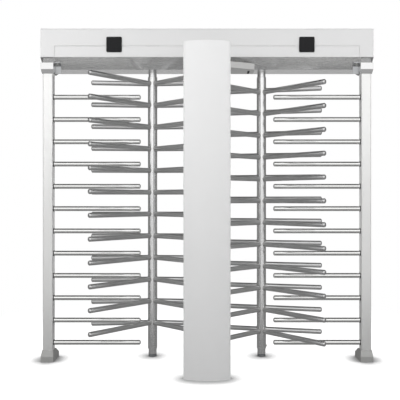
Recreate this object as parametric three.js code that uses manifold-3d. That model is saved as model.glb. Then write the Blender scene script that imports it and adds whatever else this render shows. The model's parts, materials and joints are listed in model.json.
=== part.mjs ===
// Full height turnstile: two rotors, two fixed combs, a centre pillar and an overhead housing.
// Millimetres, +Z up. Places are counted from the plane of the two rotor shafts, midway between
// them, with -Y towards the pillar. The last group moves the origin to the middle of the footprint.
// Right hand pieces are drawn, and their left hand twins are mirrored across the X = 0 plane.
import * as THREE from 'three';
import { mergeVertices } from 'three/addons/utils/BufferGeometryUtils.js';
import Module from 'manifold-3d';

const wasm = await Module();
wasm.setup();

// Clearances
const gap = 0.3;
const running_gap = 2;
const overrun = 5;

// Housing
const housing_width = 2362;
const housing_depth = 370;
const housing_bottom = 2165;
const housing_height = 201;
const panel_wall = 3;
const lower_panel_margin = 100.5;
const lower_panel_height = 78;
const panel_seam = 1;
const reader_size = 109;
const reader_corner = 9;
const reader_thickness = 8;
const reader_rise = 88;
const left_reader_margin = 523;
const right_reader_margin = 474;

// Lintel, a hollow beam whose front slopes up to the lower edge of the housing
const lintel_drop = 70;
const lintel_forward = 94;
const lintel_rear = 62.5;
const lintel_wall = 5;
const end_bracket_width = 43;
const end_bracket_forward = 124;
const end_bracket_leg = 26;
const end_bracket_drop = 37;
const end_bracket_thickness = 5;

// Side posts, shoes and heads
const post_forward = 125;
const post_width = 72;
const post_depth = 64;
const post_corner = 8;
const post_wall = 3;
const shoe_width = 90;
const shoe_depth = 168;
const shoe_front_lip = 20;
const shoe_band = 38;
const shoe_height = 79.5;
const shoe_wall = 5;
const shoe_lip = 4;
const shoe_rear_lip = 15;
const head_drop = 37;
const head_chamfer = 29;
const head_height = 75;
const head_cap = 12;
const base_plate_thickness = 10;
const anchor_radius = 6;
const anchor_head_radius = 10;
const anchor_head_height = 8;
const anchor_spread = 24;

// Bars of the fixed combs and arms of the rotors
const bar_radius = 17.5;
const bar_pitch = 160;
const first_comb_height = 130;
const comb_tip_clear = 73;

// Rotors
const rotor_offset = 402;
const shaft_radius = 34;
const sleeve_wall = 4;
const shaft_bottom = 57;
const shaft_top_clear = 37;
const journal_radius = 25;
const foot_pin_radius = 15;
const rotor_reach = 575;
const left_short_reach = 447;
const right_short_reach = 440;
const right_first_arm = 186;
const left_first_arm = 249;
const right_short_lift = 14;

// Floor sockets
const socket_height = 18;
const socket_floor = 4;
const bottom_bearing_radius = 22;

// Lock mechanism, one set over each rotor, placed from the shaft outwards
const mechanism_plate_inner = 150;
const mechanism_plate_outer = 260;
const mechanism_plate_depth = 300;
const mechanism_plate_thickness = 10;
const bearing_radius = 45;
const bearing_width = 28;
const bearing_housing_radius = 54;
const bearing_flange = 130;
const bearing_flange_thickness = 12;
const hub_radius = 38;
const disc_radius = 110;
const disc_thickness = 10;
const disc_lift = 12;
const slot_width = 18;
const slot_depth = 20;
const pawl_pivot_outward = 118;
const pawl_pivot_forward = 85;
const pawl_boss_radius = 11;
const pawl_boss_lift = 3;
const pawl_tooth = 17;
const pawl_width = 12;
const pawl_tooth_width = 7;
const pawl_tooth_shift = 1.5;
const pawl_clearance = 3;
const pin_radius = 5;
const pin_seat_radius = 12;
const pin_over = 6;
const plunger_radius = 7;
const plunger_length = 92;
const plunger_tip_gap = 0.5;
const solenoid_length = 70;
const solenoid_width = 50;
const solenoid_over = 25;
const solenoid_setback = 33;
const bridge_width = 40;
const bridge_thickness = 6;
const bridge_lift = 8;
const bridge_half_span = 140;
const damper_radius = 55;
const damper_height = 44;
const shaft_over = 8;
const control_width = 180;
const control_depth = 130;
const control_height = 62;
const supply_width = 150;
const supply_height = 45;
const unit_spacing = 60;
const unit_setback = 20;

// Head bracket from the lintel to the pillar
const bracket_height = 43;
const bracket_wall = 4;
const bracket_floor = 8.7;
const bracket_right_reach = 340;
const bracket_rear = 8;
const bracket_shoulder_forward = 139;
const bracket_neck_forward = 217;
const bracket_neck_margin = 1.5;
const bracket_slot_offset = 302;
const bracket_slot_width = 16;

// Centre pillar
const pillar_width = 303;
const pillar_front = 621;
const pillar_crown = 34;
const pillar_side = 42;
const pillar_rise = 7;
const pillar_wall = 3;
const column_width = 80;
const column_depth = 43;
const column_wall = 4;
const column_inset = 8;
const pillar_plate_width = 200;
const pillar_plate_depth = 49;
const pillar_plate_inset = 6;
const pillar_plate_thickness = 12;

// Counts, angles in degrees, and shares of the sizes that they follow
const section_levels = 2;
const bar_sides = 8;
const round_sides = 16;
const small_sides = 12;
const hex_sides = 6;
const corner_steps = 3;
const crown_steps = 10;
const slot_count = 12;
const outer_long_angle = 47;
const inner_long_angle = 43;
const left_short_angle = 6;
const right_short_angle = 13;
const dome_share = 0.55;
const dome_shoulder_share = 0.72;
const dome_lift_share = 0.62;

// Sizes that follow from those above
const housing_top = housing_bottom + housing_height;
const housing_front = -housing_depth / 2;
const lintel_top = housing_bottom - gap;
const lintel_bottom = housing_bottom - lintel_drop;
const shaft_top = lintel_bottom - shaft_top_clear;
const pillar_height = housing_bottom + pillar_rise;
const head_top = housing_bottom - head_drop;
const head_bottom = head_top - head_height;
const reader_height = housing_bottom + reader_rise;
const lower_panel_width = housing_width - 2 * lower_panel_margin;
const post_offset = (housing_width - shoe_width) / 2;
const lintel_half = post_offset - shoe_width / 2 - gap;
const shoe_setback = (shoe_depth - post_depth) / 2 - shoe_front_lip;
const collar_depth = post_depth + shoe_lip + shoe_rear_lip;
const collar_setback = (shoe_rear_lip - shoe_lip) / 2;
const comb_inner_end = rotor_offset + comb_tip_clear;
const bracket_bottom = lintel_bottom - gap - bracket_floor;
const bar_count = Math.floor((shaft_top - left_first_arm) / bar_pitch) + 1;
const plate_bottom = housing_bottom + panel_wall + gap;
const plate_top = plate_bottom + mechanism_plate_thickness;
const bearing_bottom = plate_top + gap;
const bearing_top = bearing_bottom + bearing_width;
const disc_bottom = bearing_top + disc_lift;
const disc_top = disc_bottom + disc_thickness;
const bridge_bottom = disc_top + bridge_lift;
const damper_top = bridge_bottom + bridge_thickness + damper_height;
const disc_middle = (disc_bottom + disc_top) / 2;
const tooth_start = disc_radius + pawl_clearance;
const lever_start = tooth_start + pawl_tooth;
const lever_end = lever_start + pawl_width;
const pillar_back = pillar_front - pillar_crown - pillar_side;
const core_radius = shaft_radius - sleeve_wall - gap;

// Arms of a level as [angle, reach, height over the level]
const long_arms = [
  [-outer_long_angle, rotor_reach, 0],
  [inner_long_angle - 180, rotor_reach, 0],
];
const left_arms = [
  ...long_arms,
  [-left_short_angle, left_short_reach, 0],
  [left_short_angle - 180, left_short_reach, 0],
];
const right_arms = [
  ...long_arms,
  [-right_short_angle, right_short_reach, right_short_lift],
  [180 - right_short_angle, right_short_reach, right_short_lift],
];

const finishes = {
  housing: { color: 0xe4e4e2, roughness: 0.38, metalness: 0.35 },
  satin: { color: 0xc9c9c7, roughness: 0.32, metalness: 0.85 },
  tube: { color: 0xb9bab9, roughness: 0.28, metalness: 0.95 },
  shoe: { color: 0xa2a3a2, roughness: 0.45, metalness: 0.8 },
  reader: { color: 0x141414, roughness: 0.2, metalness: 0.0 },
  plate: { color: 0x9da1a3, roughness: 0.5, metalness: 0.75 },
  casting: { color: 0x6b6f72, roughness: 0.6, metalness: 0.5 },
  bearing: { color: 0xd0d2d3, roughness: 0.18, metalness: 1.0 },
  bolt: { color: 0xa9a9a4, roughness: 0.35, metalness: 0.9 },
  coil: { color: 0x2c3a55, roughness: 0.5, metalness: 0.2 },
  plastic: { color: 0x3a3c3e, roughness: 0.55, metalness: 0.0 },
};

// Geometry with only positions, shared corners merged and collapsed faces left out
function closed(geometry) {
  geometry.deleteAttribute('normal');
  geometry.deleteAttribute('uv');
  const merged = mergeVertices(geometry, gap / 100);
  const kept = [];
  const index = merged.index.array;
  for (let i = 0; i < index.length; i += 3) {
    const [a, b, c] = [index[i], index[i + 1], index[i + 2]];
    if (a !== b && b !== c && c !== a) {
      kept.push(a, b, c);
    }
  }
  merged.setIndex(kept);
  return merged;
}

function toSolid(geometry) {
  const vertProperties = new Float32Array(geometry.attributes.position.array);
  const triVerts = new Uint32Array(geometry.index.array);
  return new wasm.Manifold(new wasm.Mesh({ numProp: 3, vertProperties, triVerts }));
}

function fromSolid(solid) {
  const mesh = solid.getMesh();
  const geometry = new THREE.BufferGeometry();
  geometry.setAttribute('position', new THREE.BufferAttribute(mesh.vertProperties, 3));
  geometry.setIndex([...mesh.triVerts]);
  return geometry;
}

function union(first, ...others) {
  return fromSolid(others.reduce((sum, next) => sum.add(toSolid(next)), toSolid(first)));
}

function cut(body, ...tools) {
  return fromSolid(tools.reduce((rest, tool) => rest.subtract(toSolid(tool)), toSolid(body)));
}

// The twin on the other side of the X = 0 plane
function mirrored(geometry) {
  const twin = geometry.clone();
  twin.scale(-1, 1, 1);
  const index = [...twin.index.array];
  for (let i = 0; i < index.length; i += 3) {
    [index[i + 1], index[i + 2]] = [index[i + 2], index[i + 1]];
  }
  twin.setIndex(index);
  return twin;
}

// Box between two corners
function block(x0, x1, y0, y1, z0, z1) {
  const box = new THREE.BoxGeometry(x1 - x0, y1 - y0, z1 - z0);
  box.translate((x0 + x1) / 2, (y0 + y1) / 2, (z0 + z1) / 2);
  return closed(box);
}

// Body of revolution about the Z axis from [radius, height] pairs
function turned(profile, sides = round_sides) {
  const points = profile.map(([radius, height]) => new THREE.Vector2(radius, height));
  const lathe = new THREE.LatheGeometry(points, sides);
  lathe.rotateX(Math.PI / 2);
  return closed(lathe);
}

function rod(radius, z0, z1, sides = round_sides) {
  return turned([[0, z0], [radius, z0], [radius, z1], [0, z1]], sides);
}

function ring(inner, outer, z0, z1, sides = round_sides) {
  return turned([[inner, z0], [outer, z0], [outer, z1], [inner, z1], [inner, z0]], sides);
}

// Radius of a flat-sided bore that a shaft of the given radius can turn in
function turningBore(radius, sides = round_sides) {
  return (radius + gap) / Math.cos(Math.PI / sides);
}

// Outline in the XY plane raised from z0 to z1, with any holes
function prism(outline, z0, z1, holes = []) {
  const shape = new THREE.Shape(outline.map(([x, y]) => new THREE.Vector2(x, y)));
  for (const hole of holes) {
    shape.holes.push(new THREE.Path(hole.map(([x, y]) => new THREE.Vector2(x, y))));
  }
  const body = new THREE.ExtrudeGeometry(shape, { depth: z1 - z0, bevelEnabled: false });
  body.translate(0, 0, z0);
  return closed(body);
}

// Rectangle with rounded corners as a list of points
function roundedRectangle(width, depth, corner) {
  const points = [];
  const middles = [[1, 1], [-1, 1], [-1, -1], [1, -1]];
  middles.forEach(([sideX, sideY], quarter) => {
    for (let step = 0; step <= corner_steps; step++) {
      const angle = (quarter + step / corner_steps) * Math.PI / 2;
      const x = sideX * (width / 2 - corner) + corner * Math.cos(angle);
      const y = sideY * (depth / 2 - corner) + corner * Math.sin(angle);
      points.push([x, y]);
    }
  });
  return points;
}

// Outline in the YZ plane, as [y, z] points, drawn out from x0 to x1
function prismAlongX(outline, x0, x1) {
  const body = prism(outline, x0, x1);
  body.rotateX(Math.PI / 2);
  body.rotateZ(Math.PI / 2);
  return body;
}

// Closed body through centred rectangles, each [width, depth, height, setback]
function stacked(levels) {
  const positions = [];
  for (const [width, depth, z, setback] of levels) {
    const [front, rear] = [setback - depth / 2, setback + depth / 2];
    positions.push(-width / 2, front, z, width / 2, front, z);
    positions.push(width / 2, rear, z, -width / 2, rear, z);
  }
  const top = (levels.length - 1) * 4;
  const index = [0, 2, 1, 0, 3, 2, top, top + 1, top + 2, top, top + 2, top + 3];
  for (let corner = 0; corner < top; corner++) {
    const next = corner % 4 === 3 ? corner - 3 : corner + 1;
    index.push(corner, next, next + 4, corner, next + 4, corner + 4);
  }
  const body = new THREE.BufferGeometry();
  body.setAttribute('position', new THREE.Float32BufferAttribute(positions, 3));
  body.setIndex(index);
  return body;
}

// Round bar along X with a flat foot at the start and a domed end
function domedBar(start, length) {
  const dome = bar_radius * dome_share;
  const profile = [
    [0, 0],
    [bar_radius, 0],
    [bar_radius, length - dome],
    [bar_radius * dome_shoulder_share, length - dome + dome * dome_lift_share],
    [0, length],
  ];
  const bar = turned(profile, bar_sides);
  bar.rotateY(Math.PI / 2);
  bar.translate(start, 0, 0);
  return bar;
}

const right = {};
const left = {};
const shared = {};

function addPair(name, geometry, finish) {
  right[name] = [geometry, finish];
  left[name] = [mirrored(geometry), finish];
}

// Housing
function housingFront() {
  const half = housing_width / 2;
  const notch = lower_panel_width / 2 + panel_seam;
  const bottom = housing_bottom;
  const notch_top = bottom + lower_panel_height + panel_seam;
  const top = housing_top - panel_wall - gap;
  const body = block(-half, half, housing_front, housing_front + panel_wall, bottom, top);
  const opening = block(
    -notch, notch, housing_front - overrun, housing_front + panel_wall + overrun, bottom - overrun, notch_top,
  );
  return cut(body, opening);
}

function housingLowerFront() {
  const half = lower_panel_width / 2;
  const top = housing_bottom + lower_panel_height;
  return block(-half, half, housing_front, housing_front + panel_wall, housing_bottom, top);
}

// Top sheet with its two ends folded down
function housingCover() {
  const outer = housing_width / 2;
  const inner = outer - panel_wall;
  const depth_half = housing_depth / 2 - panel_wall - gap;
  const under = housing_top - panel_wall;
  const top = block(-outer, outer, housing_front, -housing_front, under, housing_top);
  const end = block(inner, outer, -depth_half, depth_half, housing_bottom, under + panel_wall / 2);
  return union(top, end, mirrored(end));
}

function housingRear() {
  const half = housing_width / 2;
  const top = housing_top - panel_wall - gap;
  return block(-half, half, -housing_front - panel_wall, -housing_front, housing_bottom, top);
}

function shaftHole(z0, z1) {
  const hole = rod(core_radius + running_gap, z0 - overrun, z1 + overrun);
  hole.translate(rotor_offset, 0, 0);
  return hole;
}

function soffit() {
  const half = housing_width / 2 - panel_wall - gap;
  const depth_half = housing_depth / 2 - panel_wall - gap;
  const top = housing_bottom + panel_wall;
  const plate = block(-half, half, -depth_half, depth_half, housing_bottom, top);
  const hole = shaftHole(housing_bottom, top);
  return cut(plate, hole, mirrored(hole));
}

function reader(margin) {
  const window = prism(roundedRectangle(reader_size, reader_size, reader_corner), 0, reader_thickness);
  window.rotateX(Math.PI / 2);
  window.translate(housing_width / 2 - margin, housing_front - gap, reader_height);
  return window;
}

// Lintel
// Height of its sloped front at a place in Y, the slope moved inwards by an inset
function slopeHeight(y, inset) {
  const run = -housing_front - lintel_forward;
  const rise = lintel_top - lintel_bottom;
  return lintel_bottom + ((-lintel_forward - y) * rise + inset * Math.hypot(run, rise)) / run;
}

// The same slope as a place in Y at a height
function slopePlace(z, inset) {
  const run = -housing_front - lintel_forward;
  const rise = lintel_top - lintel_bottom;
  return -lintel_forward + ((lintel_bottom - z) * run + inset * Math.hypot(run, rise)) / rise;
}

function lintelBody(inset, half) {
  const low = lintel_bottom + inset;
  const high = lintel_top - inset;
  return prismAlongX([
    [slopePlace(high, inset), high],
    [slopePlace(low, inset), low],
    [lintel_rear - inset, low],
    [lintel_rear - inset, high],
  ], -half, half);
}

function lintel() {
  const hole = shaftHole(lintel_bottom, lintel_top);
  const bore = lintelBody(lintel_wall, lintel_half + overrun);
  return cut(lintelBody(0, lintel_half), bore, hole, mirrored(hole));
}

// Angle bracket with one leg on the sloped front and the other hanging beside the post's head
function endBracket() {
  const rear = -end_bracket_forward + end_bracket_thickness;
  const front = -end_bracket_forward - end_bracket_leg;
  const low = lintel_bottom - end_bracket_drop;
  const under = -gap - end_bracket_thickness;
  return prismAlongX([
    [front, slopeHeight(front, -gap)],
    [rear, slopeHeight(rear, -gap)],
    [rear, low],
    [-end_bracket_forward, low],
    [-end_bracket_forward, slopeHeight(-end_bracket_forward, under)],
    [front, slopeHeight(front, under)],
  ], lintel_half - end_bracket_width, lintel_half);
}

// Side posts
function atPost(geometry) {
  geometry.translate(post_offset, -post_forward, 0);
  return geometry;
}

// Post tube with its base plate and the twelve bars of its comb, welded together
function combPost() {
  const outer = roundedRectangle(post_width, post_depth, post_corner);
  const inner = roundedRectangle(
    post_width - 2 * post_wall, post_depth - 2 * post_wall, post_corner - post_wall,
  );
  const top = head_top - head_cap - gap;
  const tube = prism(outer, base_plate_thickness / 2, top, [inner]);
  const half_width = shoe_width / 2 - shoe_wall - gap;
  const half_depth = shoe_depth / 2 - shoe_wall - gap;
  const plate = block(
    -half_width, half_width, shoe_setback - half_depth, shoe_setback + half_depth, 0, base_plate_thickness,
  );
  const root = -post_width / 2 + post_wall / 2;
  const tip = comb_inner_end - post_offset;
  const bars = [];
  for (let level = 0; level < bar_count; level++) {
    const bar = domedBar(0, root - tip);
    bar.rotateZ(Math.PI);
    bar.translate(root, 0, first_comb_height + level * bar_pitch);
    bars.push(bar);
  }
  return atPost(union(tube, plate, ...bars));
}

function postSleeve(z0, z1) {
  const hole = roundedRectangle(post_width + 2 * gap, post_depth + 2 * gap, post_corner + gap);
  return prism(hole, z0, z1);
}

function postShoe() {
  const outer = stacked([
    [shoe_width, shoe_depth, 0, shoe_setback],
    [shoe_width, shoe_depth, shoe_band, shoe_setback],
    [post_width + 2 * shoe_lip, collar_depth, shoe_height, collar_setback],
  ]);
  const half_width = shoe_width / 2 - shoe_wall;
  const half_depth = shoe_depth / 2 - shoe_wall;
  const hollow = block(
    -half_width, half_width, shoe_setback - half_depth, shoe_setback + half_depth,
    -overrun, shoe_band - shoe_wall,
  );
  return atPost(cut(outer, hollow, postSleeve(-overrun, shoe_height + overrun)));
}

// Head of the post, with a wedge on it that carries on the slope of the lintel
function postHead() {
  const outer = stacked([
    [post_width + 2 * shoe_lip, collar_depth, head_bottom, collar_setback],
    [shoe_width, shoe_depth, head_bottom + head_chamfer, shoe_setback],
    [shoe_width, shoe_depth, head_top, shoe_setback],
  ]);
  const body = atPost(cut(outer, postSleeve(head_bottom - overrun, head_top - head_cap)));
  const low = head_top - head_cap / 2;
  const rear = -post_forward + shoe_setback + shoe_depth / 2;
  const wedge = prismAlongX([
    [slopePlace(lintel_top, 0), lintel_top],
    [slopePlace(low, 0), low],
    [rear, low],
    [rear, lintel_top],
  ], post_offset - shoe_width / 2, post_offset + shoe_width / 2);
  return union(body, wedge);
}

// Anchor bolt on the base plate behind the post
function postAnchor(side) {
  const z0 = base_plate_thickness + gap;
  const middle = z0 + anchor_head_height;
  const bolt = turned([
    [0, z0],
    [anchor_head_radius, z0],
    [anchor_head_radius, middle],
    [anchor_radius, middle],
    [anchor_radius, middle + anchor_radius],
    [0, middle + anchor_radius],
  ], hex_sides);
  const plate_rear = shoe_setback + shoe_depth / 2 - shoe_wall - gap;
  bolt.translate(side * anchor_spread, (post_depth / 2 + plate_rear) / 2, 0);
  return atPost(bolt);
}

// Centre pillar
function pillarOutline(inset, back) {
  const half = pillar_width / 2 - inset;
  const points = [[half, -back], [-half, -back]];
  for (let step = 0; step <= crown_steps; step++) {
    const share = 2 * step / crown_steps - 1;
    const crown = pillar_crown * (1 - share * share);
    points.push([share * half, inset - back - pillar_side - crown]);
  }
  return points;
}

function pillarFrontCover() {
  const top = pillar_height - pillar_wall;
  const outer = prism(pillarOutline(0, pillar_back), 0, top);
  const inner = prism(pillarOutline(pillar_wall, pillar_back), -overrun, top + overrun);
  const mouth_half = pillar_width / 2 - pillar_wall;
  const mouth = block(
    -mouth_half, mouth_half, -pillar_back - overrun, -pillar_back + overrun, -overrun, top + overrun,
  );
  const cap = prism(pillarOutline(0, pillar_back), top, pillar_height);
  return union(cut(outer, inner, mouth), cap);
}

function pillarBackCover() {
  const half = pillar_width / 2 - pillar_wall - gap;
  const top = pillar_height - pillar_wall - gap;
  return block(-half, half, -pillar_back - pillar_wall, -pillar_back, 0, top);
}

function pillarColumn() {
  const outer = roundedRectangle(column_width, column_depth, column_wall);
  const inner = roundedRectangle(
    column_width - 2 * column_wall, column_depth - 2 * column_wall, column_wall / 2,
  );
  const top = pillar_height - pillar_wall - 2 * gap;
  const tube = prism(outer, pillar_plate_thickness / 2, top, [inner]);
  tube.translate(0, -pillar_back - column_inset - column_depth / 2, 0);
  const half = pillar_plate_width / 2;
  const back = -pillar_back - pillar_plate_inset;
  const plate = block(-half, half, back - pillar_plate_depth, back, 0, pillar_plate_thickness);
  return union(tube, plate);
}

// Tray, open at the top, from under the lintel to the back of the pillar. Behind the pillar it is as wide
// as the pillar, and to the right it reaches further along the lintel.
function headBracket() {
  const front = -pillar_back + gap;
  const neck_half = pillar_width / 2 - bracket_neck_margin;
  const outline = (inset) => [
    [-neck_half + inset, bracket_rear - inset],
    [-neck_half + inset, front + inset],
    [neck_half - inset, front + inset],
    [neck_half - inset, -bracket_neck_forward],
    [bracket_right_reach - inset, -bracket_shoulder_forward],
    [bracket_right_reach - inset, bracket_rear - inset],
  ];
  const floor = bracket_bottom + bracket_floor;
  const top = bracket_bottom + bracket_height;
  const body = prism(outline(0), bracket_bottom, top);
  const hollow = prism(outline(bracket_wall), floor, top + overrun);
  const slot = block(
    bracket_slot_offset - bracket_slot_width / 2, bracket_slot_offset + bracket_slot_width / 2,
    -lintel_forward, bracket_rear + overrun, bracket_bottom - overrun, floor + overrun,
  );
  return cut(body, hollow, lintelBody(-gap, lintel_half), slot);
}

// Rotors, drawn about their own shaft and then moved to the right hand axis
function atRotor(geometry) {
  geometry.translate(rotor_offset, 0, 0);
  return geometry;
}

function indexDisc() {
  const bore = journal_radius + gap;
  const body = turned([
    [bore, bearing_top + gap],
    [hub_radius, bearing_top + gap],
    [hub_radius, disc_bottom],
    [disc_radius, disc_bottom],
    [disc_radius, disc_top],
    [bore, disc_top],
    [bore, bearing_top + gap],
  ], 2 * slot_count);
  const slots = [];
  for (let i = 0; i < slot_count; i++) {
    const slot = block(
      disc_radius - slot_depth, disc_radius + overrun, -slot_width / 2, slot_width / 2,
      disc_bottom - overrun, disc_top + overrun,
    );
    slot.rotateZ(i * 2 * Math.PI / slot_count);
    slots.push(slot);
  }
  return atRotor(cut(body, ...slots));
}

// Core that runs from the floor pin up to the journal, which carries the disc
function rotorShaft() {
  return atRotor(turned([
    [0, socket_floor + gap],
    [foot_pin_radius, socket_floor + gap],
    [foot_pin_radius, socket_height + gap],
    [core_radius, socket_height + gap],
    [core_radius, plate_top],
    [journal_radius, plate_top],
    [journal_radius, damper_top + shaft_over],
    [0, damper_top + shaft_over],
  ], small_sides));
}

// Length of sleeve around the core, with the arms of its levels welded on
function armSection(number, first_height, arms) {
  const first_level = number * section_levels;
  const seam = (level) => first_height + (level - 1 / 2) * bar_pitch;
  const next_level = Math.min(first_level + section_levels, bar_count);
  const bottom = number === 0 ? shaft_bottom : seam(first_level) + gap;
  const top = next_level === bar_count ? shaft_top : seam(next_level);
  const sleeve = ring(core_radius + gap, shaft_radius, bottom, top, small_sides);
  const start = core_radius + 2 * gap;
  const bars = [];
  for (let level = first_level; level < next_level; level++) {
    for (const [degrees, reach, lift] of arms) {
      const bar = domedBar(start, reach - start);
      bar.rotateZ(THREE.MathUtils.degToRad(degrees));
      bar.translate(0, 0, first_height + level * bar_pitch + lift);
      bars.push(bar);
    }
  }
  return atRotor(union(sleeve, ...bars));
}

// Floor socket and bearings
function floorSocket() {
  const bore = bottom_bearing_radius + gap;
  return atRotor(turned([
    [0, 0],
    [core_radius, 0],
    [core_radius, socket_height],
    [bore, socket_height],
    [bore, socket_floor],
    [0, socket_floor],
  ]));
}

function bottomBearing() {
  const inner = turningBore(foot_pin_radius);
  return atRotor(ring(inner, bottom_bearing_radius, socket_floor + gap, socket_height - gap));
}

function topBearing() {
  return atRotor(ring(turningBore(journal_radius), bearing_radius, bearing_bottom, bearing_top));
}

function bearingHousing() {
  const half = bearing_flange / 2;
  const flange = block(-half, half, -half, half, bearing_bottom, bearing_bottom + bearing_flange_thickness);
  const barrel = rod(bearing_housing_radius, bearing_bottom, bearing_top);
  const bore = rod(bearing_radius + gap, bearing_bottom - overrun, bearing_top + overrun);
  return atRotor(cut(union(flange, barrel), bore));
}

// Lock mechanism
// Plate with the pivot pin of the pawl
function mechanismPlate() {
  const half_depth = mechanism_plate_depth / 2;
  const plate = block(
    -mechanism_plate_inner, mechanism_plate_outer, -half_depth, half_depth, plate_bottom, plate_top,
  );
  const hole = rod(core_radius + running_gap, plate_bottom - overrun, plate_top + overrun);
  const seat_top = disc_bottom - pawl_boss_lift - gap;
  const middle = (plate_bottom + plate_top) / 2;
  const pin = turned([
    [0, middle],
    [pin_seat_radius, middle],
    [pin_seat_radius, seat_top],
    [pin_radius, seat_top],
    [pin_radius, disc_top + pin_over],
    [0, disc_top + pin_over],
  ], small_sides);
  pin.translate(pawl_pivot_outward, -pawl_pivot_forward, 0);
  return atRotor(union(cut(plate, hole), pin));
}

function lockPawl() {
  const [pivot_x, pivot_y] = [pawl_pivot_outward, -pawl_pivot_forward];
  const tooth_low = pawl_tooth_shift - pawl_tooth_width / 2;
  const tooth_high = pawl_tooth_shift + pawl_tooth_width / 2;
  const lever = prism([
    [pivot_x - pawl_boss_radius, pivot_y],
    [pivot_x + pawl_boss_radius, pivot_y],
    [lever_end, tooth_low - pawl_width / 2],
    [lever_end, tooth_high],
    [tooth_start, tooth_high],
    [tooth_start, tooth_low],
    [lever_start, tooth_low],
  ], disc_bottom, disc_top);
  const boss = rod(pawl_boss_radius, disc_bottom - pawl_boss_lift, disc_top, small_sides);
  const bore = rod(pin_radius + gap, disc_bottom - overrun, disc_top + overrun, small_sides);
  boss.translate(pivot_x, pivot_y, 0);
  bore.translate(pivot_x, pivot_y, 0);
  return atRotor(cut(union(lever, boss), bore));
}

// Rod along X at the height of the disc
function sidewaysRod(radius, x0, x1) {
  const piece = rod(radius, x0, x1, small_sides);
  piece.rotateY(Math.PI / 2);
  piece.translate(0, 0, disc_middle);
  return piece;
}

function plunger() {
  const start = lever_end + plunger_tip_gap;
  return atRotor(sidewaysRod(plunger_radius, start, start + plunger_length));
}

function solenoid() {
  const start = lever_end + solenoid_setback;
  const body = block(
    start, start + solenoid_length, -solenoid_width / 2, solenoid_width / 2,
    plate_top + gap, disc_middle + solenoid_over,
  );
  const bore_end = lever_end + plunger_tip_gap + plunger_length + gap;
  return atRotor(cut(body, sidewaysRod(plunger_radius + gap, start - overrun, bore_end)));
}

// Damper can on a bridge whose legs stand on the mechanism plate
function damper() {
  const half = bridge_width / 2;
  const span = bridge_half_span;
  const top = bridge_bottom + bridge_thickness;
  const bar = block(-half, half, -span, span, bridge_bottom, top);
  const legs = [-1, 1].map((side) => {
    const ends = [side * span, side * (span - bridge_thickness)].sort((a, b) => a - b);
    return block(-half, half, ends[0], ends[1], plate_top + gap, top);
  });
  const can = rod(damper_radius, bridge_bottom, damper_top);
  const bore = rod(turningBore(journal_radius), bridge_bottom - overrun, damper_top + overrun);
  return atRotor(cut(union(bar, can, ...legs), bore));
}

// Electrical units on the soffit between the two mechanisms
function controlBox() {
  const z = housing_bottom + panel_wall + gap;
  const right_side = -unit_spacing / 2;
  return block(
    right_side - control_width, right_side, unit_setback, unit_setback + control_depth, z, z + control_height,
  );
}

function powerSupply() {
  const z = housing_bottom + panel_wall + gap;
  const start = unit_spacing / 2;
  return block(start, start + supply_width, unit_setback, unit_setback + control_depth, z, z + supply_height);
}

shared.housing_front_panel = [housingFront(), 'housing'];
shared.housing_lower_panel = [housingLowerFront(), 'housing'];
shared.housing_cover = [housingCover(), 'housing'];
shared.housing_rear_panel = [housingRear(), 'housing'];
shared.housing_soffit = [soffit(), 'plate'];
right.reader_window = [reader(right_reader_margin), 'reader'];
left.reader_window = [mirrored(reader(left_reader_margin)), 'reader'];
shared.lintel_beam = [lintel(), 'satin'];
addPair('end_bracket', endBracket(), 'plate');
addPair('comb_post', combPost(), 'satin');
addPair('post_shoe', postShoe(), 'shoe');
addPair('post_head', postHead(), 'satin');
addPair('inner_anchor', postAnchor(-1), 'bolt');
addPair('outer_anchor', postAnchor(1), 'bolt');
shared.pillar_front_cover = [pillarFrontCover(), 'housing'];
shared.pillar_back_cover = [pillarBackCover(), 'housing'];
shared.pillar_column = [pillarColumn(), 'plate'];
shared.head_bracket = [headBracket(), 'satin'];
addPair('rotor_shaft', rotorShaft(), 'tube');
for (let number = 0; number < bar_count / section_levels; number++) {
  const name = `arm_section_${number + 1}`;
  right[name] = [armSection(number, right_first_arm, right_arms), 'tube'];
  left[name] = [mirrored(armSection(number, left_first_arm, left_arms)), 'tube'];
}
addPair('index_disc', indexDisc(), 'plate');
addPair('floor_socket', floorSocket(), 'casting');
addPair('bottom_bearing', bottomBearing(), 'bearing');
addPair('top_bearing', topBearing(), 'bearing');
addPair('bearing_housing', bearingHousing(), 'casting');
addPair('mechanism_plate', mechanismPlate(), 'plate');
addPair('lock_pawl', lockPawl(), 'plate');
addPair('plunger', plunger(), 'bolt');
addPair('solenoid', solenoid(), 'coil');
addPair('damper', damper(), 'casting');
shared.control_box = [controlBox(), 'plastic'];
shared.power_supply = [powerSupply(), 'plate'];

const turnstile = new THREE.Group();
turnstile.position.y = (pillar_front - housing_depth / 2) / 2;

function addMeshes(pieces, prefix) {
  for (const [name, [geometry, finish]] of Object.entries(pieces)) {
    geometry.computeVertexNormals();
    const material = new THREE.MeshStandardMaterial({ ...finishes[finish], flatShading: true });
    const mesh = new THREE.Mesh(geometry, material);
    mesh.name = prefix + name;
    turnstile.add(mesh);
  }
}

addMeshes(shared, '');
addMeshes(left, 'left_');
addMeshes(right, 'right_');

const part = new THREE.Group();
part.add(turnstile);

export default part;
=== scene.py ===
"""Looks of the full height turnstile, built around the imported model. Metres, +Z up."""
import json
import math

import bpy
from mathutils import Matrix, Vector


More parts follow.
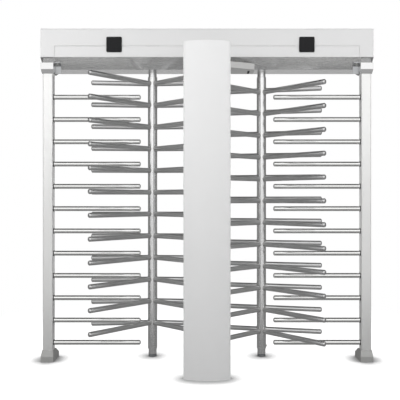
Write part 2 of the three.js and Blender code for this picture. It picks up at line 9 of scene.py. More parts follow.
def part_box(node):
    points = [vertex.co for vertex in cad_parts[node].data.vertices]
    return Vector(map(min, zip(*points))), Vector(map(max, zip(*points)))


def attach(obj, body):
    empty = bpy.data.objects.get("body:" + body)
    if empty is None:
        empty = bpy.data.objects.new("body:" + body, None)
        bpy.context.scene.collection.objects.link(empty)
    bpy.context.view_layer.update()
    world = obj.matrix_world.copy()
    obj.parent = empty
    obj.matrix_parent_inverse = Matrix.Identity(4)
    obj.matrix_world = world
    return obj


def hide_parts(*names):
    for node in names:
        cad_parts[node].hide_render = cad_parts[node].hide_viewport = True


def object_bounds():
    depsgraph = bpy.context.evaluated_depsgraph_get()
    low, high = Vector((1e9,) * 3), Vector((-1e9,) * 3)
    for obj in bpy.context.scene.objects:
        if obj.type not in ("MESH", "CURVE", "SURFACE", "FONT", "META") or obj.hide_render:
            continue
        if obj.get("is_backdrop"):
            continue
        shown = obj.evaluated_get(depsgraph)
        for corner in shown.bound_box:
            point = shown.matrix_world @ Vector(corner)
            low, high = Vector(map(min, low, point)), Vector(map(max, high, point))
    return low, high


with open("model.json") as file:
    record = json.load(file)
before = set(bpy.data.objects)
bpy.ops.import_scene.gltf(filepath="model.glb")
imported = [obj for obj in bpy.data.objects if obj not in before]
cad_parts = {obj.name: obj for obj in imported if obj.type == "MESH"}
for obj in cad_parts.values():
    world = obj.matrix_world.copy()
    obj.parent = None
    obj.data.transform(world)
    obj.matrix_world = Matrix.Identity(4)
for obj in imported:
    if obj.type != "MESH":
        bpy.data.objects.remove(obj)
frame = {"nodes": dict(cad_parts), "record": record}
cad_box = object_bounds()
SIDES = ("left", "right")

# Driving sizes, the same as the model's own
GAP = 0.0003
BAR_RADIUS = 0.0175
BAR_PITCH = 0.160
BAR_COUNT = 12
FIRST_COMB_HEIGHT = 0.130
FIRST_ARM = {"left": 0.249, "right": 0.186}
LONG_REACH = 0.575
LONG_ANGLES = (-47, -137)
SHORT_REACH = {"left": 0.447, "right": 0.440}
SHORT_ANGLES = {"left": (-6, -174), "right": (-13, 167)}
SHORT_LIFT = {"left": 0.0, "right": 0.014}
SHAFT_RADIUS = 0.034
SHAFT_BOTTOM = 0.057
SHAFT_TOP = 2.058
SECTION_COUNT = 6
POST_FORWARD = 0.125
POST_WIDTH = 0.072
POST_DEPTH = 0.064
POST_CORNER = 0.008
SHOE_WALL = 0.005
BASE_PLATE = 0.010
LINTEL_FORWARD = 0.094
LINTEL_WALL = 0.005
END_BRACKET_FORWARD = 0.124
END_BRACKET_THICKNESS = 0.005
SLOT_OFFSET = 0.302
SLOT_WIDTH = 0.016
TRAY_FLOOR = 0.0087
PILLAR_WALL = 0.003
PILLAR_CROWN = 0.034

# Radii of the core's foot pin and journal, as shares of the core's
PIN_SHARE = 0.5
JOURNAL_SHARE = 0.84

# Rounding, with angles in degrees
PANEL_BEVEL = 0.0012
PLATE_BEVEL = 0.002
MERGE_DISTANCE = GAP / 10
BEVEL_SEGMENTS = 2
BEVEL_ANGLE = 6
OWN_BEVEL_ANGLES = {"lintel_beam": 30}
SMOOTH_ANGLE = 40
HEX_SMOOTH_ANGLE = 20
DOME_SHARE = 0.62
DOME_STEPS = 7
CORNER_STEPS = 6
CROWN_STEPS = 40
TUBE_SIDES = 28
SHAFT_SIDES = 48
SOCKET_RIM = 0.001
PILLAR_CORNER = 0.004

# Small details
WELD_RADIUS = 0.0022
WELD_SIDES = 8
WELD_RIPPLES = 9
WELD_RIPPLE_SHARE = 0.12
FERRULE_LENGTH = 0.004
FERRULE_PROUD = 0.003
FERRULE_RIM = 0.001
BOLT_RADIUS = 0.009
BOLT_HEIGHT = 0.006
SCREW_RADIUS = 0.008
SCREW_HEIGHT = 0.006
SCREW_RISE = 0.021
SCREW_ANGLE = {"left": 90, "right": 0}
HEX_SIDES = 6
HEX_RIM_SHARE = 0.2
HEX_TOP_SHARE = 0.86
CAP_THICKNESS = 0.003
CAP_SETBACK = 0.001
READER_CORNER_SHARE = 0.083
READER_RIM_SHARE = 0.045
READER_EASE_SHARE = 0.12
BEZEL_FRONT_SHARE = 0.8
WINDOW_BACK_SHARE = 0.2

# Texture of the finishes
LINE_DETAIL = 4
CLOUD_SCALE = 3.5
CLOUD_DETAIL = 3
CLOUD_SHARE = 0.4
RELIEF_DEPTH = 0.0004
SPECKLE_SCALE = 900
SPECKLE_DETAIL = 2

# Camera, from the photograph's vanishing point and scale
IMAGE_WIDTH = 400
FOCAL_PIXELS = 604
SENSOR_WIDTH = 36
AXIS_PIXEL = 207
CAMERA_HEIGHT = 1.152
CAMERA_DISTANCE = 4.464

# Booth of cards round the turnstile: places in metres, brightness where 1 is white
BOOTH_HALF_WIDTH = 3.2
BOOTH_FRONT = 1.3
BOOTH_BACK = 4.2
BOOTH_TOP = 4.4
TOP_FRONT = 2.4
SIDE_GREY = 0.18
TOP_GREY = 0.06
BACK_SPLIT = 1.7
BACK_LOW_GREY = 0.55
BACK_HIGH_GREY = 0.2
SOFTBOX_DISTANCE = 5.2
SOFTBOX_LOW = 1.2
SOFTBOX_WHITE = 1.2
FLOOR_CARD_REACH = 9
FLOOR_CARD_HEIGHT = 0.001
FLOOR_NEAR_GREY = 0.22
FLOOR_FAR_GREY = 0.95
FLOOR_FADE_START = -1.2
FLOOR_FADE_END = -4.0

# Floor: lengths in metres, brightness where 1 is white
FLOOR_REACH = 40
FLOOR_COLOR = 0.4
FLOOR_GLOW = 0.88
FLOOR_CONTACT_REACH = 0.11
FLOOR_CONTACT_POWER = 4.5
FLOOR_WHITE_START = 1.6
FLOOR_WHITE_END = 2.8

# World, and lamps with their name, place and size in metres, and power in watts
WORLD_COLOR = (0.97, 0.985, 1, 1)
WORLD_STRENGTH = 0.12
LAMP_TARGET_HEIGHT = 2.1
LAMP_SPREAD = 145
LAMPS = (
    ("key", (-2.6, -3.6, 2.9), 2.4, 67),
    ("fill", (2.8, -3.6, 2.9), 2.4, 54),
    ("left_rim", (-4.2, -1.2, 2.4), 1.6, 24),
    ("right_rim", (4.2, -1.2, 2.4), 1.6, 24),
    ("top", (0, 0.4, 4.2), 3.0, 28),
    ("rear_left", (-2.4, 4.2, 2.9), 2.4, 52),
    ("rear_right", (2.4, 4.2, 2.9), 2.4, 52),
)


def rotor_axis(side):
    """Place of a rotor's axis on the floor."""
    low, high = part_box(f"{side}_rotor_shaft")
    return Vector(((low.x + high.x) / 2, (low.y + high.y) / 2, 0))


def outward(side):
    """Sign of X on a side of the pillar."""
    return 1 if side == "right" else -1


ROTOR_PLANE = rotor_axis("right").y


# Meshes


def linked_object(name, data):
    """Object of a mesh, lamp or camera, added to the scene."""
    made = bpy.data.objects.new(name, data)
    bpy.context.scene.collection.objects.link(made)
    return made


class Shape:
    """Points and faces of a piece while it is being built, and a place in its texture for each point."""

    def __init__(self):
        self.points = []
        self.faces = []
        self.places = []

    def add(self, points, faces, places, matrix=None):
        """Adds a form, moved by the matrix if there is one."""
        start = len(self.points)
        for point in points:
            self.points.append(Vector(point) if matrix is None else matrix @ Vector(point))
        self.faces.extend(tuple(start + i for i in face) for face in faces)
        self.places.extend(places)

    def piece(self, name, material, body, slot, smooth_angle=SMOOTH_ANGLE):
        """Makes the piece and lets it ride on its body."""
        mesh = bpy.data.meshes.new(name)
        mesh.from_pydata([tuple(p) for p in self.points], [], self.faces)
        mesh.validate()
        grain = mesh.uv_layers.new(name="grain")
        for loop in mesh.loops:
            grain.data[loop.index].uv = self.places[loop.vertex_index]
        mesh.materials.append(material)
        for polygon in mesh.polygons:
            polygon.use_smooth = True
        mesh.set_sharp_from_angle(angle=math.radians(smooth_angle))
        piece = linked_object(name, mesh)
        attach(piece, body)
        return piece


def revolved(shape, profile, sides, matrix=None):
    """Body of revolution about Z from (radius, height) pairs, with its ends on the axis closed."""
    points, faces, places, rings = [], [], [], []
    travel = 0
    for i, (radius, height) in enumerate(profile):
        if i:
            before = profile[i - 1]
            travel += math.hypot(radius - before[0], height - before[1])
        if radius == 0:
            rings.append([len(points)])
            points.append((0, 0, height))
            places.append((0, travel))
            continue
        ring = []
        for step in range(sides):
            angle = 2 * math.pi * step / sides
            ring.append(len(points))
            points.append((radius * math.cos(angle), radius * math.sin(angle), height))
            places.append((step / sides, travel))
        rings.append(ring)
    for low, high in zip(rings, rings[1:]):
        for step in range(sides):
            after = (step + 1) % sides
            if len(low) == 1:
                faces.append((low[0], high[after], high[step]))
            elif len(high) == 1:
                faces.append((low[step], low[after], high[0]))
            else:
                faces.append((low[step], low[after], high[after], high[step]))
    shape.add(points, faces, places, matrix)


def domed_profile(radius, length):
    """Profile of a bar from its flat foot to its domed end."""
    dome = radius * DOME_SHARE
    profile = [(0, 0), (radius, 0), (radius, length - dome)]
    for step in range(1, DOME_STEPS):
        angle = step / DOME_STEPS * math.pi / 2
        profile.append((radius * math.cos(angle), length - dome + dome * math.sin(angle)))
    return profile + [(0, length)]


def along(direction, start):
    """Matrix that lays the Z axis along a direction from a start point."""
    turn = Vector(direction).to_track_quat("Z", "Y").to_matrix().to_4x4()
    return Matrix.Translation(start) @ turn


def hex_head(shape, foot, direction, radius, height):
    """Six-sided head of a bolt or screw, with its top edge eased."""
    rim = height * HEX_RIM_SHARE
    profile = [(0, 0), (radius, 0), (radius, height - rim), (radius * HEX_TOP_SHARE, height), (0, height)]
    revolved(shape, profile, HEX_SIDES, along(direction, foot))


def swept(shape, outline, low, high, bevel=0, matrix=None):
    """Solid between two heights over a closed outline in X and Y, with its rims eased."""
    count = len(outline)
    centre = Vector((sum(x for x, _ in outline) / count, sum(y for _, y in outline) / count))
    rims = [(low, 0), (high, 0)]
    if bevel:
        rims = [(low, bevel), (low + bevel, 0), (high - bevel, 0), (high, bevel)]
    points, places = [], []
    for height, inset in rims:
        for i, (x, y) in enumerate(outline):
            offset = Vector((x, y)) - centre
            shrink = 1 - inset / max(offset.length, inset * 2) if inset else 1
            points.append((centre.x + offset.x * shrink, centre.y + offset.y * shrink, height))
            places.append((i / count, height))
    top = (len(rims) - 1) * count
    faces = [tuple(reversed(range(count)))]
    for base in range(0, top, count):
        for i in range(count):
            after = (i + 1) % count
            faces.append((base + i, base + after, base + count + after, base + count + i))
    faces.append(tuple(range(top, top + count)))
    shape.add(points, faces, places, matrix)


def rounded_rectangle(centre, width, depth, corner):
    """Outline of a rectangle with round corners, as points in X and Y."""
    points = []
    for quarter, (side_x, side_y) in enumerate(((1, 1), (-1, 1), (-1, -1), (1, -1))):
        for step in range(CORNER_STEPS + 1):
            angle = (quarter + step / CORNER_STEPS) * math.pi / 2
            x = side_x * (width / 2 - corner) + corner * math.cos(angle)
            y = side_y * (depth / 2 - corner) + corner * math.sin(angle)
            points.append((centre[0] + x, centre[1] + y))
    return points


# Materials


class Tree:
    """Node tree of a material or of the world."""

    def __init__(self, owner):
        owner.use_nodes = True
        self.nodes = owner.node_tree.nodes
        self.links = owner.node_tree.links

    def feed(self, node, inputs):
        """Gives a node's inputs their numbers, or links them to other nodes' sockets."""
        for name, value in inputs.items():
            if isinstance(value, bpy.types.NodeSocket):
                self.links.new(value, node.inputs[name])
            else:
                node.inputs[name].default_value = value

    def add(self, kind, inputs=None, **settings):
        """New node with its settings and inputs."""
        node = self.nodes.new(f"ShaderNode{kind}")
        for name, value in settings.items():
            setattr(node, name, value)
        self.feed(node, inputs or {})
        return node

    def place(self):
        """Coordinates of the object itself, in metres."""
        return self.add("TexCoord").outputs["Object"]

    def noise(self, vector, scale, detail):
        """Cloudy value from 0 to 1."""
        inputs = {"Vector": vector, "Scale": scale, "Detail": detail}
        return self.add("TexNoise", inputs).outputs["Fac"]

    def calculate(self, operation, *values):
        """Result of an operation on numbers and sockets."""
        return self.add("Math", dict(enumerate(values)), operation=operation).outputs["Value"]

    def ramp(self, value, source, result, interpolation="LINEAR"):
        """Value moved from the source's range to the result's."""
        inputs = {
            "Value": value,
            "From Min": source[0],
            "From Max": source[1],
            "To Min": result[0],
            "To Max": result[1],
        }
        return self.add("MapRange", inputs, interpolation_type=interpolation).outputs["Result"]

    def show(self, output, socket):
        """Makes a shader the surface of the material or the world."""
        self.links.new(socket, self.nodes[output].inputs["Surface"])


def new_material(name):
    """Material with its node tree and its shader."""
    material = bpy.data.materials.new(name)
    tree = Tree(material)
    return material, tree, tree.nodes["Principled BSDF"]


def steel(name, color, roughness, spread, grain, bump, metallic=1.0, layer=None, stains=0.04):
    """Steel with fine grain lines, soft clouding and a roughness that follows both.

    The lines lie along the texture layer, or else along the object's own axes.
    """
    material, tree, shader = new_material(name)
    place = tree.place()
    coordinate = tree.add("UVMap", uv_map=layer).outputs["UV"] if layer else place
    stretch = tree.add("Mapping", {"Vector": coordinate, "Scale": grain})
    lines = tree.noise(stretch.outputs["Vector"], 1, LINE_DETAIL)
    clouds = tree.noise(place, CLOUD_SCALE, CLOUD_DETAIL)
    mixed = tree.calculate("MULTIPLY_ADD", clouds, CLOUD_SHARE, lines)
    darker = [c * (1 - stains) for c in color]
    tint = tree.add("Mix", {"A": (*darker, 1), "B": (*color, 1), "Factor": clouds}, data_type="RGBA")
    relief = tree.add("Bump", {"Strength": bump, "Distance": RELIEF_DEPTH, "Height": lines})
    tree.feed(shader, {
        "Base Color": tint.outputs["Result"],
        "Metallic": metallic,
        "Roughness": tree.ramp(mixed, (0, 1), (roughness - spread, roughness + spread)),
        "Normal": relief.outputs["Normal"],
    })
    return material


def plastic(name, color, roughness, spread, specular=0.5):
    """Moulded plastic with a fine even grain."""
    material, tree, shader = new_material(name)
    grain = tree.noise(tree.place(), SPECKLE_SCALE, SPECKLE_DETAIL)
    tree.feed(shader, {
        "Base Color": (*color, 1),
        "Roughness": tree.ramp(grain, (0, 1), (roughness - spread, roughness + spread)),
        "Specular IOR Level": specular,
    })
    return material


MATERIALS = {
    "housing": steel(
        "housing_steel", (0.73, 0.73, 0.73), roughness=0.5, spread=0.05,
        grain=(2, 900, 900), bump=0.03, metallic=0.25,
    ),
    "pillar": steel(
        "pillar_steel", (0.86, 0.86, 0.86), roughness=0.55, spread=0.05,
        grain=(500, 500, 3), bump=0.03, metallic=0.05,
    ),
    "satin": steel(
        "satin_steel", (0.84, 0.84, 0.83), roughness=0.32, spread=0.03,
        grain=(500, 500, 4), bump=0.008, metallic=0.5,
    ),
    "lintel": steel(
        "lintel_steel", (0.86, 0.86, 0.86), roughness=0.26, spread=0.03,
        grain=(8, 500, 500), bump=0.01, metallic=0.8,
    ),
    "head": steel(
        "head_steel", (0.8, 0.8, 0.8), roughness=0.17, spread=0.03,
        grain=(8, 500, 500), bump=0.01,
    ),
    "bracket": steel(
        "bracket_steel", (0.6, 0.6, 0.59), roughness=0.34, spread=0.04,
        grain=(8, 500, 500), bump=0.02,
    ),
    "tube": steel(
        "tube_steel", (0.88, 0.88, 0.88), roughness=0.26, spread=0.01,
        grain=(140, 3, 1), bump=0.002, layer="grain",
    ),
    # Painted shade: the shaft's tube steel made darker for the arms, standing in for the shade they sit
    # in
    "arms": steel(
        "arm_steel_painted_shade", (0.74, 0.74, 0.74), roughness=0.28, spread=0.01,
        grain=(140, 3, 1), bump=0.002, layer="grain",
    ),
    "bars": steel(
        "bar_steel", (0.9, 0.9, 0.89), roughness=0.12, spread=0.01,
        grain=(140, 3, 1), bump=0.002, layer="grain",
    ),
    "shoe": steel(
        "shoe_steel", (0.6, 0.6, 0.59), roughness=0.62, spread=0.06,
        grain=(120, 120, 40), bump=0.05, metallic=0.9, stains=0.1,
    ),
    "plate": steel(
        "plate_steel", (0.55, 0.56, 0.57), roughness=0.42, spread=0.06,
        grain=(300, 30, 30), bump=0.05, stains=0.1,
    ),
    "casting": steel(
        "casting_iron", (0.3, 0.31, 0.32), roughness=0.6, spread=0.1,
        grain=(260, 260, 260), bump=0.4, metallic=0.6,
    ),
    "bearing": steel(
        "bearing_steel", (0.8, 0.81, 0.82), roughness=0.12, spread=0.04,
        grain=(20, 20, 900), bump=0.02,
    ),
    "bolt": steel(
        "bolt_steel", (0.62, 0.62, 0.6), roughness=0.32, spread=0.06,
        grain=(200, 200, 200), bump=0.1,
    ),
    "weld": steel(
        "weld_bead", (0.55, 0.54, 0.52), roughness=0.45, spread=0.1,
        grain=(60, 4, 1), bump=0.5, layer="grain", stains=0.25,
    ),
    "coil": plastic("coil_paint", (0.12, 0.16, 0.24), roughness=0.45, spread=0.05),
    "plastic": plastic("case_plastic", (0.05, 0.05, 0.055), roughness=0.55, spread=0.08),
    "glass": plastic("reader_glass", (0.008, 0.008, 0.009), roughness=0.2, spread=0.02, specular=0.18),
    "bezel": plastic("reader_bezel", (0.012, 0.012, 0.013), roughness=0.45, spread=0.05, specular=0.2),
    # Dark rubber of the comb ferrules, also used for the painted shade sheet in the bracket's slot
    "rubber": plastic("dark_rubber_and_slot_shade", (0.03, 0.03, 0.03), roughness=0.7, spread=0.08),
}

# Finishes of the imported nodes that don't have their slot's name
SLOT_FINISHES = {"reader": "glass", "tube": "satin"}
OWN_FINISHES = {
    "head_bracket": "bracket",
    "lintel_beam": "lintel",
    "left_post_head": "head",
    "right_post_head": "head",
    "pillar_front_cover": "pillar",
    "pillar_back_cover": "pillar",
}


def dress_cad_nodes():
    """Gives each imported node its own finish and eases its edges."""
    slots = {row["node"]: row["material_slot"] for row in frame["record"]["subparts"]}
    for name, node in frame["nodes"].items():
        finish = OWN_FINISHES.get(name, SLOT_FINISHES.get(slots[name], slots[name]))
        node.data.materials.clear()
        node.data.materials.append(MATERIALS[finish])
        weld = node.modifiers.new("weld", "WELD")
        weld.merge_threshold = MERGE_DISTANCE
        ease = node.modifiers.new("ease", "BEVEL")
        ease.width = PANEL_BEVEL
        ease.segments = BEVEL_SEGMENTS
        ease.limit_method = "ANGLE"
        ease.angle_limit = math.radians(OWN_BEVEL_ANGLES.get(name, BEVEL_ANGLE))
        ease.harden_normals = True


# Rotors


def arm_directions(side):
    """Direction, reach, lift and kind of the four arms of a level."""
    sign = outward(side)
    arms = [(degrees, LONG_REACH, 0.0, "long") for degrees in LONG_ANGLES]
    arms += [(degrees, SHORT_REACH[side], SHORT_LIFT[side], "short") for degrees in SHORT_ANGLES[side]]
    for degrees, reach, lift, kind in arms:
        angle = math.radians(degrees)
        yield Vector((sign * math.cos(angle), math.sin(angle), 0)), reach, lift, kind


def saddle_weld(shape, axis, direction, height):
    """Weld bead along the line where an arm meets the shaft tube."""
    across = Vector((-direction.y, direction.x, 0))
    up = Vector((0, 0, 1))
    points, faces, places = [], [], []
    for step in range(TUBE_SIDES):
        angle = 2 * math.pi * step / TUBE_SIDES
        spread = across * math.cos(angle) + up * math.sin(angle)
        side = BAR_RADIUS * math.cos(angle)
        depth = math.sqrt(SHAFT_RADIUS ** 2 - side ** 2)
        middle = axis + direction * depth + spread * BAR_RADIUS + up * height
        ripple = 1 + WELD_RIPPLE_SHARE * math.sin(WELD_RIPPLES * angle)
        for turn in range(WELD_SIDES):
            bend = 2 * math.pi * turn / WELD_SIDES
            offset = (spread * math.cos(bend) + direction * math.sin(bend)) * WELD_RADIUS * ripple
            points.append(middle + offset)
            places.append((turn / WELD_SIDES, step / TUBE_SIDES))
    for step in range(TUBE_SIDES):
        low = step * WELD_SIDES
        high = (step + 1) % TUBE_SIDES * WELD_SIDES
        for turn in range(WELD_SIDES):
            after = (turn + 1) % WELD_SIDES
            faces.append((low + turn, low + after, high + after, high + turn))
    shape.add(points, faces, places)


def make_arms(side, axis, body):
    """Long and short arms of a rotor, and the weld at the root of each."""
    bars = {"long": Shape(), "short": Shape()}
    welds = Shape()
    start = math.sqrt(SHAFT_RADIUS ** 2 - BAR_RADIUS ** 2)
    for level in range(BAR_COUNT):
        height = FIRST_ARM[side] + level * BAR_PITCH
        for direction, reach, lift, kind in arm_directions(side):
            foot = axis + direction * start + Vector((0, 0, height + lift))
            profile = domed_profile(BAR_RADIUS, reach - start)
            revolved(bars[kind], profile, TUBE_SIDES, along(direction, foot))
            saddle_weld(welds, axis, direction, height + lift)
    for kind, shape in bars.items():
        shape.piece(f"{side}_{kind}_arms", MATERIALS["arms"], body, "tube")
    welds.piece(f"{side}_arm_welds", MATERIALS["weld"], body, "tube")


def make_shaft_tube(side, axis, body):
    """One unbroken tube in place of the sections that carry the arms."""
    rim = PLATE_BEVEL
    low, high = SHAFT_BOTTOM, SHAFT_TOP
    profile = [
        (0, low), (SHAFT_RADIUS - rim, low), (SHAFT_RADIUS, low + rim),
        (SHAFT_RADIUS, high - rim), (SHAFT_RADIUS - rim, high), (0, high),
    ]
    tube = Shape()
    revolved(tube, profile, SHAFT_SIDES, Matrix.Translation(axis))
    skin = tube.piece(f"{side}_shaft_tube", MATERIALS["tube"], body, "tube")
    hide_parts(*[f"{side}_arm_section_{i + 1}" for i in range(SECTION_COUNT)])


def make_core(side, axis, body):
    """The core that shows as a thinner neck under and over the shaft tube."""
    low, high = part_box(f"{side}_rotor_shaft")
    radius = (high.x - low.x) / 2
    pin, journal = radius * PIN_SHARE, radius * JOURNAL_SHARE
    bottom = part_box(f"{side}_floor_socket")[1].z + GAP
    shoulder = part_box(f"{side}_bearing_housing")[0].z - GAP
    rim = PLATE_BEVEL
    profile = [
        (0, low.z), (pin, low.z), (pin, bottom),
        (radius - rim, bottom), (radius, bottom + rim), (radius, shoulder),
        (journal, shoulder), (journal, high.z - rim), (journal - rim, high.z), (0, high.z),
    ]
    core = Shape()
    revolved(core, profile, SHAFT_SIDES, Matrix.Translation(axis))
    piece = core.piece(f"{side}_core", MATERIALS["tube"], body, "tube")
    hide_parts(f"{side}_rotor_shaft")


def make_socket(side, axis):
    """Floor socket, a low turned cup round the foot of the shaft."""
    low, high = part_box(f"{side}_floor_socket")
    bearing_low, bearing_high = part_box(f"{side}_bottom_bearing")
    outer = (high.x - low.x) / 2
    bore = (bearing_high.x - bearing_low.x) / 2 + GAP
    floor = bearing_low.z - GAP
    profile = [
        (0, low.z), (outer, low.z), (outer, high.z - SOCKET_RIM), (outer - SOCKET_RIM, high.z),
        (bore, high.z), (bore, floor), (0, floor),
    ]
    cup = Shape()
    revolved(cup, profile, SHAFT_SIDES, Matrix.Translation(axis))
    piece = cup.piece(f"{side}_socket_cup", MATERIALS["casting"], "frame", "casting")
    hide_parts(f"{side}_floor_socket")


def make_clamp_screw(side, axis, body):
    """Screw that clamps the shaft tube to its core, low on the tube."""
    angle = math.radians(SCREW_ANGLE[side])
    direction = Vector((math.cos(angle), math.sin(angle), 0))
    foot = axis + direction * SHAFT_RADIUS + Vector((0, 0, SHAFT_BOTTOM + SCREW_RISE))
    screw = Shape()
    hex_head(screw, foot, direction, SCREW_RADIUS, SCREW_HEIGHT)
    screw.piece(f"{side}_clamp_screw", MATERIALS["bolt"], body, "bolt", HEX_SMOOTH_ANGLE)


def make_rotor(side):
    """All that turns on one side, and the socket that it stands in."""
    axis = rotor_axis(side)
    body = f"{side}_rotor"
    make_arms(side, axis, body)
    make_shaft_tube(side, axis, body)
    make_core(side, axis, body)
    make_socket(side, axis)
    make_clamp_screw(side, axis, body)


# Fixed combs


def make_post(side, centre):
    """Tube of a comb's post, from the middle of its base plate up."""
    low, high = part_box(f"{side}_comb_post")
    post = Shape()
    outline = rounded_rectangle(centre, POST_WIDTH, POST_DEPTH, POST_CORNER)
    swept(post, outline, low.z + BASE_PLATE / 2, high.z)
    skin = post.piece(f"{side}_post_tube", MATERIALS["satin"], "frame", "satin")
    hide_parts(f"{side}_comb_post")


def make_base_plate(side):
    """Plate inside the shoe that the post and its anchors stand on."""
    low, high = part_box(f"{side}_post_shoe")
    margin = SHOE_WALL + GAP
    centre = ((low.x + high.x) / 2, (low.y + high.y) / 2)
    width, depth = high.x - low.x - 2 * margin, high.y - low.y - 2 * margin
    plate = Shape()
    swept(plate, rounded_rectangle(centre, width, depth, PLATE_BEVEL), low.z, low.z + BASE_PLATE)
    plate.piece(f"{side}_base_plate", MATERIALS["plate"], "frame", "plate")


def make_comb_bars(side, centre):
    """Fixed bars with domed ends, and the ferrule at the root of each."""
    sign = outward(side)
    low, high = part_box(f"{side}_comb_post")
    tip = low.x if sign > 0 else high.x
    root = centre.x - sign * POST_WIDTH / 2
    ring = BAR_RADIUS + FERRULE_PROUD
    bar_profile = domed_profile(BAR_RADIUS, abs(root - tip))
    ferrule_profile = [
        (0, 0), (ring, 0), (ring, FERRULE_LENGTH - FERRULE_RIM),
        (ring - FERRULE_RIM, FERRULE_LENGTH), (0, FERRULE_LENGTH),
    ]
    bars, ferrules = Shape(), Shape()
    for level in range(BAR_COUNT):
        foot = Vector((root, centre.y, FIRST_COMB_HEIGHT + level * BAR_PITCH))
        matrix = along((-sign, 0, 0), foot)
        revolved(bars, bar_profile, TUBE_SIDES, matrix)
        revolved(ferrules, ferrule_profile, TUBE_SIDES, matrix)
    bars.piece(f"{side}_comb_tubes", MATERIALS["bars"], "frame", "satin")
    ferrules.piece(f"{side}_comb_ferrules", MATERIALS["rubber"], "frame", "plastic")


def make_comb(side):
    """Post, base plate and bars of the comb on one side."""
    low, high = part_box(f"{side}_post_head")
    centre = Vector(((low.x + high.x) / 2, ROTOR_PLANE - POST_FORWARD, 0))
    make_post(side, centre)
    make_base_plate(side)
    make_comb_bars(side, centre)


# Centre pillar


def crowned_front(half, side_y, corner=0):
    """Curved front of the cover from +X to -X, with its two corners rounded."""
    points = []
    for step in range(CROWN_STEPS + 1):
        share = 1 - 2 * step / CROWN_STEPS
        y = side_y - PILLAR_CROWN * (1 - share ** 2)
        if corner:
            ease = max(0.0, abs(share) * half - (half - corner)) / corner
            y += corner * (1 - math.sqrt(max(0.0, 1 - ease ** 2)))
        points.append((share * half, y))
    return points


def make_pillar():
    """Curved sheet cover of the pillar, and the cap that closes its top."""
    low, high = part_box("pillar_front_cover")
    half = (high.x - low.x) / 2
    inner_half = half - PILLAR_WALL
    side_y, back = low.y + PILLAR_CROWN, high.y
    outer = [(half, back), *crowned_front(half, side_y, PILLAR_CORNER), (-half, back)]
    inner = [(inner_half, back), *crowned_front(inner_half, side_y + PILLAR_WALL), (-inner_half, back)]
    ring = outer + inner[::-1]
    count = len(ring)
    top = high.z - PILLAR_WALL - PLATE_BEVEL
    points = [(x, y, z) for z in (low.z, top) for x, y in ring]
    places = [(i / count, height) for height in (0, top) for i in range(count)]
    faces = []
    for i in range(count):
        after = (i + 1) % count
        faces.append((count + i, count + after, after, i))
    for i in range(len(outer) - 1):
        j = count - 1 - i
        faces.append((j - 1, j, i, i + 1))
        faces.append((count + j, count + j - 1, count + i + 1, count + i))
    cover = Shape()
    cover.add(points, faces, places)
    skin = cover.piece("pillar_cover_sheet", MATERIALS["pillar"], "frame", "housing")
    cap = Shape()
    swept(cap, outer[::-1], top, high.z, PLATE_BEVEL)
    cap.piece("pillar_top_cap", MATERIALS["pillar"], "frame", "housing")
    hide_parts("pillar_front_cover")


# Readers


def make_reader_layer(side, name, finish, inset, back, front):
    """Square layer of a reader, between two shares of its depth."""
    low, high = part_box(f"{side}_reader_window")
    size, depth = high.x - low.x, high.y - low.y
    centre = ((low.x + high.x) / 2, (low.z + high.z) / 2)
    width = size - 2 * inset
    outline = rounded_rectangle(centre, width, width, size * READER_CORNER_SHARE - inset / 2)
    upright = Matrix.Translation(Vector((0, high.y, 0))) @ Matrix.Rotation(math.pi / 2, 4, "X")
    layer = Shape()
    swept(layer, outline, depth * back, depth * front, depth * READER_EASE_SHARE, upright)
    return layer.piece(f"{side}_reader_{name}", MATERIALS[finish], "frame", "reader")


def make_reader(side):
    """Card reader, a bezel with a dark window a little proud of it."""
    low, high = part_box(f"{side}_reader_window")
    bezel = make_reader_layer(side, "bezel", "bezel", 0, 0, BEZEL_FRONT_SHARE)
    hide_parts(f"{side}_reader_window")
    rim = (high.x - low.x) * READER_RIM_SHARE
    make_reader_layer(side, "window", "glass", rim, WINDOW_BACK_SHARE, 1)


# Trim of the lintel and its bracket


def lintel_slope():
    """Foot of the lintel's sloped front, how far it runs forward and how far it rises."""
    low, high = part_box("lintel_beam")
    foot_y = ROTOR_PLANE - LINTEL_FORWARD
    return foot_y, foot_y - low.y, high.z - low.z


def make_bracket_bolts():
    """One bolt through each end bracket into the sloped front of the lintel."""
    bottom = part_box("lintel_beam")[0].z
    foot_y, run, rise = lintel_slope()
    outward_normal = Vector((0, -rise, -run)).normalized()
    bolts = Shape()
    for side in SIDES:
        low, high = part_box(f"{side}_end_bracket")
        y = (low.y + ROTOR_PLANE - END_BRACKET_FORWARD) / 2
        on_slope = Vector(((low.x + high.x) / 2, y, bottom + (foot_y - y) / run * rise))
        foot = on_slope + outward_normal * (GAP + END_BRACKET_THICKNESS)
        hex_head(bolts, foot, outward_normal, BOLT_RADIUS, BOLT_HEIGHT)
    bolts.piece("bracket_bolts", MATERIALS["bolt"], "frame", "bolt", HEX_SMOOTH_ANGLE)


def make_lintel_caps():
    """Plates that close the open ends of the lintel."""
    low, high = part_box("lintel_beam")
    foot_y, run, rise = lintel_slope()
    inset = LINTEL_WALL + GAP
    shift = inset * math.hypot(run, rise) / rise
    bottom, top, rear = low.z + inset, high.z - inset, high.y - inset
    outline = [(foot_y + shift - (z - low.z) / rise * run, z) for z in (top, bottom)]
    outline += [(rear, bottom), (rear, top)]
    outer = high.x - CAP_SETBACK
    upright = Matrix(((0, 0, 1, 0), (1, 0, 0, 0), (0, 1, 0, 0), (0, 0, 0, 1)))
    for side in SIDES:
        ends = sorted((outward(side) * outer, outward(side) * (outer - CAP_THICKNESS)))
        cap = Shape()
        swept(cap, outline, *ends, matrix=upright)
        cap.piece(f"{side}_lintel_cap", MATERIALS["plate"], "frame", "plate")


